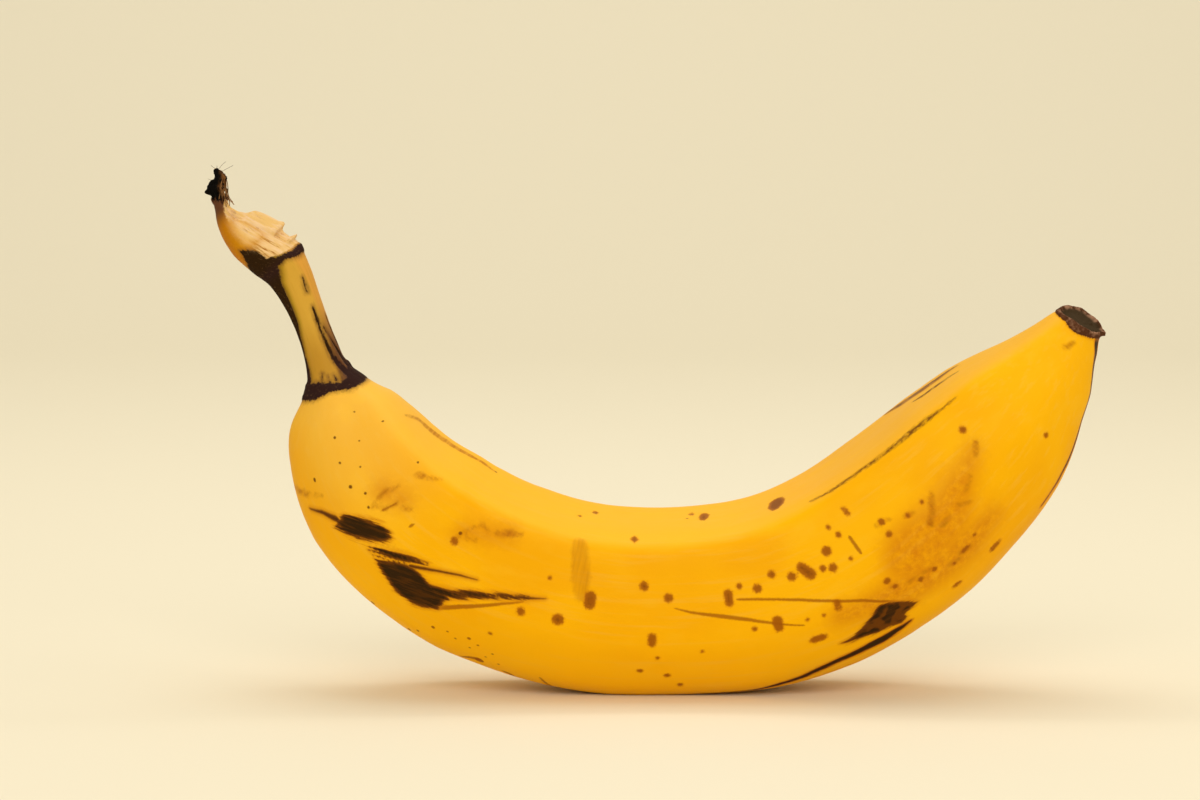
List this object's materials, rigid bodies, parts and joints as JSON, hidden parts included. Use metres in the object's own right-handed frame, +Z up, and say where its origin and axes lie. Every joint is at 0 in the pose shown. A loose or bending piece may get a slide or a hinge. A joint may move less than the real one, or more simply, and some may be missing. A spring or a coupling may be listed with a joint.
{
  "type": "banana",
  "caption": "Whole ripe banana standing on its belly: five-sided curved fruit, slim stem with a torn crown, and a small dished dry tip.",
  "frame": {"origin": "centre of the bounding box's base, on the surface that the fruit stands on", "axes": "+X along the fruit from the stem to the blossom end, +Y across its narrow width, away from the side with the most spots, +Z up"},
  "size_m": [0.17, 0.0358, 0.0993],
  "materials": {
    "peel": "waxy satin yellow peel with brown freckles and bruises, dark stem ring, pale torn crown"
  },
  "bodies": {
    "root": {"banana": "peel"}
  },
  "joints": []
}
